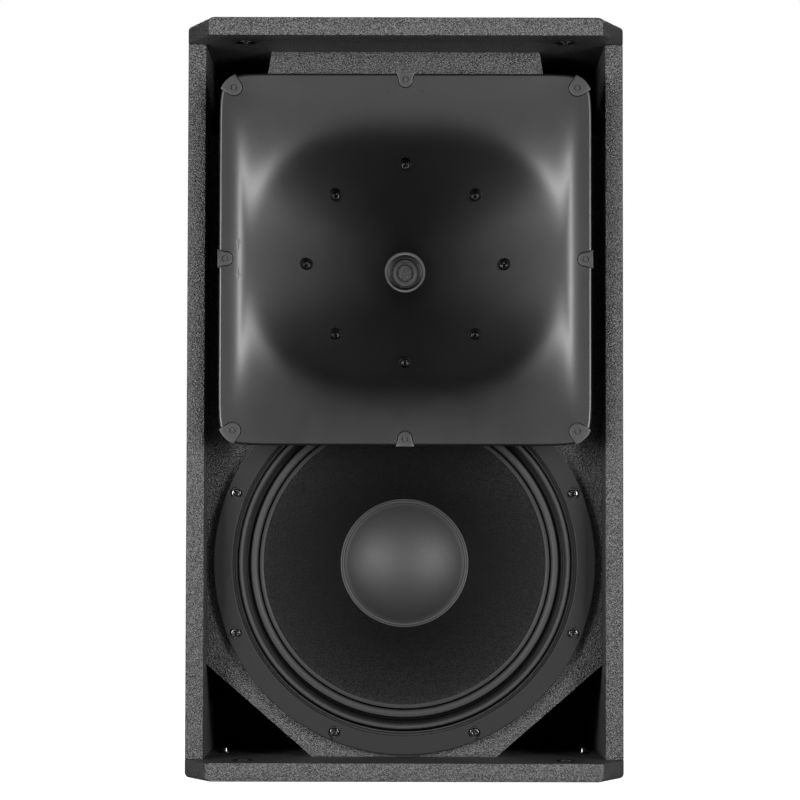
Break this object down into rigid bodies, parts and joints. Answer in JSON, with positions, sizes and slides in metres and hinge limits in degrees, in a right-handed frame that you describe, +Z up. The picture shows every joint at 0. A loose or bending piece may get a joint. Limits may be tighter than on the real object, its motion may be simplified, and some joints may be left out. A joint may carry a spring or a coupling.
{
  "type": "pa speaker cabinet",
  "caption": "Two-way loudspeaker cabinet with a large paper-cone woofer, a square moulded horn in front of the baffle, corner ports and rigging points; grille off.",
  "frame": {"origin": "centre of the cabinet's footprint, on the surface it stands on", "axes": "+Z up, the front with the woofer and horn faces -Y, +X to the right seen from the front"},
  "size_m": [0.437, 0.45, 0.753],
  "materials": {
    "cabinet_paint": "black textured paint on plywood, 1 to 2 mm speckle",
    "port_paint": "flat black paint on plywood",
    "raw_plywood": "unfinished birch plywood",
    "basket_paint": "black paint on cast aluminium",
    "gasket_ring": "satin dark grey ring",
    "surround_cloth": "treated cloth, semi-gloss black",
    "cone_paper": "matte black paper with a fine embossed pattern",
    "dust_cap_paper": "matte dark grey",
    "coil_former": "amber film",
    "copper_wire": "enamelled winding wire",
    "spider_cloth": "resin-stiffened cloth",
    "magnet_steel": "zinc-plated steel",
    "ferrite": "matte ferrite",
    "terminal_plastic": "moulded phenolic",
    "bolt_steel": "black-oxide steel, satin",
    "zinc_steel": "zinc-plated steel",
    "insert_steel": "blackened steel",
    "horn_plastic": "moulded satin black",
    "cap_plastic": "moulded satin black",
    "foam": "closed-cell foam",
    "throat_mesh": "fine woven wire",
    "titanium": "bare thin metal",
    "driver_plastic": "moulded black",
    "circuit_board": "green solder mask",
    "film_capacitor": "yellow film",
    "ceramic_resistor": "white cement body",
    "nylon": "natural nylon",
    "dish_plastic": "moulded, fine grain",
    "socket_plastic": "moulded black",
    "switch_plastic": "off-white knob",
    "cable_jacket": "soft red insulation",
    "wadding": "polyester fleece"
  },
  "bodies": {
    "cabinet": {"top_panel": "cabinet_paint", "bottom_panel": "cabinet_paint", "left_side_panel": "cabinet_paint", "right_side_panel": "cabinet_paint", "back_panel": "cabinet_paint", "front_baffle": "cabinet_paint", "window_brace": "raw_plywood", "lower_port_boards": "port_paint", "upper_port_walls": "port_paint", "upper_port_floors": "port_paint", "baffle_battens": "raw_plywood", "rigging_inserts_top": "insert_steel", "rigging_inserts_bottom": "insert_steel", "base_inserts": "insert_steel", "base_bolts": "bolt_steel", "woofer_basket": "basket_paint", "woofer_gasket": "gasket_ring", "woofer_top_plate": "magnet_steel", "woofer_magnet": "ferrite", "woofer_pole_plate": "magnet_steel", "woofer_terminals": "terminal_plastic", "woofer_bolts": "bolt_steel", "woofer_tee_nuts": "zinc_steel", "horn": "horn_plastic", "horn_screws": "bolt_steel", "horn_flange_caps": "cap_plastic", "horn_gasket": "foam", "driver_front_plate": "magnet_steel", "driver_phase_plug": "driver_plastic", "driver_throat_mesh": "throat_mesh", "driver_magnet": "ferrite", "driver_rear_plate": "magnet_steel", "driver_back_cover": "driver_plastic", "driver_bolts": "bolt_steel", "driver_terminals": "terminal_plastic", "crossover_board": "circuit_board", "crossover_inductors": "copper_wire", "crossover_capacitors": "film_capacitor", "crossover_resistors": "ceramic_resistor", "crossover_standoffs": "nylon", "input_dish": "dish_plastic", "input_sockets": "socket_plastic", "input_dish_screws": "bolt_steel", "mode_switch_housing": "socket_plastic", "input_cable": "cable_jacket", "woofer_cable": "cable_jacket", "driver_cable": "cable_jacket", "acoustic_wadding": "wadding"},
    "cone": {"woofer_cone": "cone_paper", "woofer_dust_cap": "dust_cap_paper", "woofer_coil_former": "coil_former", "woofer_voice_coil": "copper_wire", "woofer_surround": "surround_cloth", "woofer_spider": "spider_cloth"},
    "diaphragm": {"driver_diaphragm": "titanium", "driver_voice_coil": "copper_wire", "driver_suspension": "spider_cloth"},
    "switch": {"mode_switch_slider": "switch_plastic"}
  },
  "joints": [
    {"name": "cone_travel", "type": "slide", "parent": "cabinet", "child": "cone", "axis": [0, -1, 0], "range_m": [-0.008, 0.008], "stiffness_N_per_m": 6500, "deforming": ["woofer_surround", "woofer_spider"]},
    {"name": "diaphragm_travel", "type": "slide", "parent": "cabinet", "child": "diaphragm", "axis": [0, -1, 0], "range_m": [-0.0004, 0.0004], "stiffness_N_per_m": 1500, "deforming": ["driver_suspension"]},
    {"name": "mode_switch_slide", "type": "slide", "parent": "cabinet", "child": "switch", "axis": [1, 0, 0], "range_m": [0, 0.006]}
  ]
}
